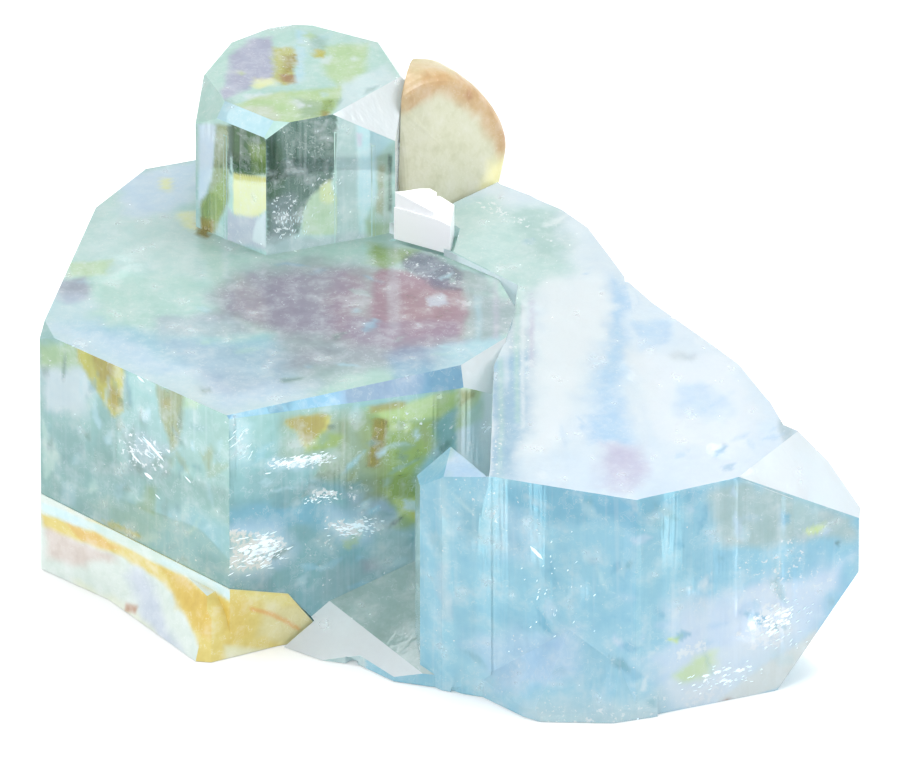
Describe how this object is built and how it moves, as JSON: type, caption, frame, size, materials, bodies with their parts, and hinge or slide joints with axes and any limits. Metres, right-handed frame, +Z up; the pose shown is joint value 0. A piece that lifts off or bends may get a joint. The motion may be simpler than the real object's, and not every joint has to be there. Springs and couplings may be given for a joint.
{
  "type": "aquamarine crystal cluster",
  "caption": "Cluster of clear pale blue-green aquamarine prisms with small yellow and white beryl crystals and cream stained matrix, cut flat underneath.",
  "frame": {"origin": "middle of the bounding box on the flat cut base", "axes": "+Z up from the flat cut base, +X to the right along the cluster's longest side, +Y to the back, seen from the side with the pointed tip"},
  "size_m": [0.06, 0.051, 0.0311],
  "materials": {
    "aquamarine": "clear to cloudy pale aqua crystal, glossy",
    "yellow_beryl": "frosted cream-yellow crystal, satin",
    "white_beryl": "frosted white crystal, satin",
    "stained_matrix": "cream rock with yellow iron staining, matt"
  },
  "bodies": {
    "root": {"aquamarine_crystals": "aquamarine", "yellow_crystal": "yellow_beryl", "white_crystal": "white_beryl", "stained_matrix": "stained_matrix"}
  },
  "joints": []
}
